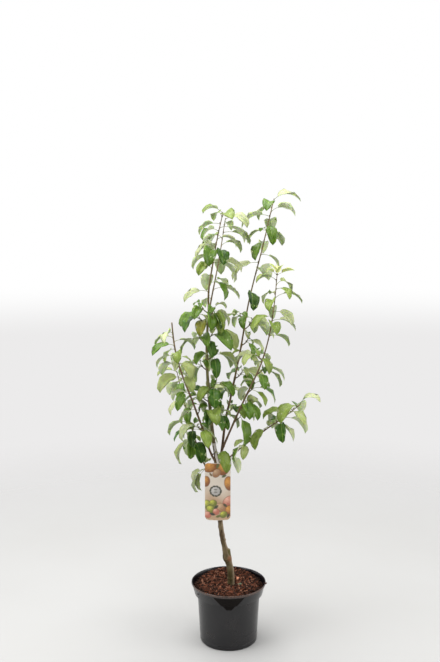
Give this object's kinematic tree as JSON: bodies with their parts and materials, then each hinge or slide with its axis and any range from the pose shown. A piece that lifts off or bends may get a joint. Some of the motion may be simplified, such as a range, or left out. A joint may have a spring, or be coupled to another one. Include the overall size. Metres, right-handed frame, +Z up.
{
  "type": "potted pear tree",
  "caption": "Young pear tree in a round black nursery pot: grafted trunk, upright boughs, drooping oval leaves and a hanging plant label.",
  "frame": {"origin": "centre of the pot's flat underside, on the surface that the pot stands on", "axes": "+Z up the tree, +X to the right and +Y away from the viewer, who faces the label"},
  "size_m": [0.6004, 0.3601, 1.6885],
  "materials": {
    "pot": "satin",
    "soil": "matte",
    "bark": "matte",
    "leaves": "satin",
    "label": "satin"
  },
  "bodies": {
    "root": {"bough_front_right": "bark", "bough_left": "bark", "bough_low_left": "bark", "bough_low_right": "bark", "bough_right": "bark", "label": "label", "pot": "pot", "soil": "soil", "spray_front_right_1026": "leaves", "spray_front_right_1078": "leaves", "spray_front_right_846": "leaves", "spray_front_right_895": "leaves", "spray_front_right_958": "leaves", "spray_front_right_end": "leaves", "spray_left_716": "leaves", "spray_left_812": "leaves", "spray_left_876": "leaves", "spray_left_end": "leaves", "spray_low_left_646": "leaves", "spray_low_left_742": "leaves", "spray_low_left_786": "leaves", "spray_low_left_end": "leaves", "spray_low_right_690": "leaves", "spray_low_right_752": "leaves", "spray_low_right_end": "leaves", "spray_right_1060": "leaves", "spray_right_1112": "leaves", "spray_right_1172": "leaves", "spray_right_1206": "leaves", "spray_right_862": "leaves", "spray_right_925": "leaves", "spray_right_988": "leaves", "spray_right_end": "leaves", "spray_top_left_end": "leaves", "spray_top_right_end": "leaves", "spray_trunk_1030": "leaves", "spray_trunk_1068": "leaves", "spray_trunk_1128": "leaves", "spray_trunk_1146": "leaves", "spray_trunk_1196": "leaves", "spray_trunk_1226": "leaves", "spray_trunk_1240": "leaves", "spray_trunk_838": "leaves", "spray_trunk_862": "leaves", "spray_trunk_912": "leaves", "spray_trunk_960": "leaves", "trunk": "bark"}
  },
  "joints": []
}
